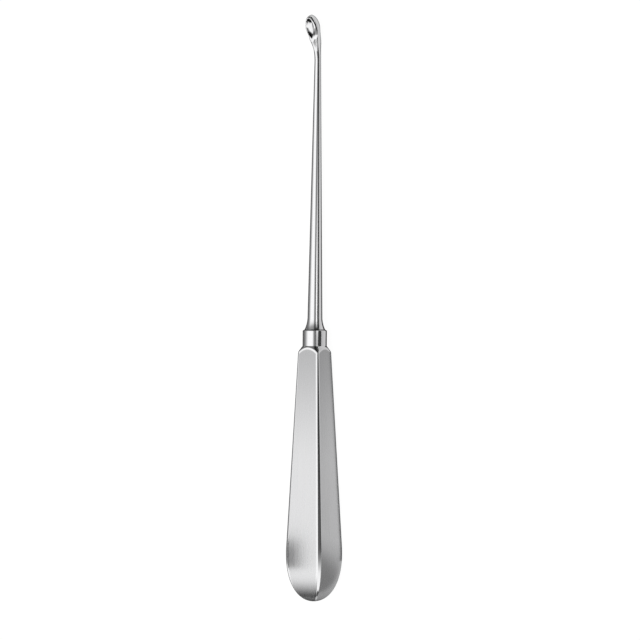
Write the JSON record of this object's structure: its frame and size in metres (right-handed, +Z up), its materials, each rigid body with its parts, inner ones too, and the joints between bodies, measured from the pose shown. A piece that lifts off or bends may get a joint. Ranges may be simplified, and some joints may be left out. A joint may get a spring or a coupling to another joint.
{
  "type": "ethmoid curette",
  "caption": "One-piece steel bone spoon: four-sided tapered handle with a rounded heel, round collar, slender round shank and a small oval cutting spoon.",
  "frame": {"origin": "bottom centre of the instrument's box as it lies at rest", "axes": "+X along the instrument from the heel of the handle to the spoon, +Z up, the spoon's opening facing up and a little towards +Y"},
  "size_m": [0.18, 0.0132, 0.0131],
  "materials": {
    "stainless_steel": "satin handle faces with fine lengthwise brush lines, mirror-polished collar, shank and spoon"
  },
  "bodies": {
    "root": {"curette": "stainless_steel"}
  },
  "joints": []
}
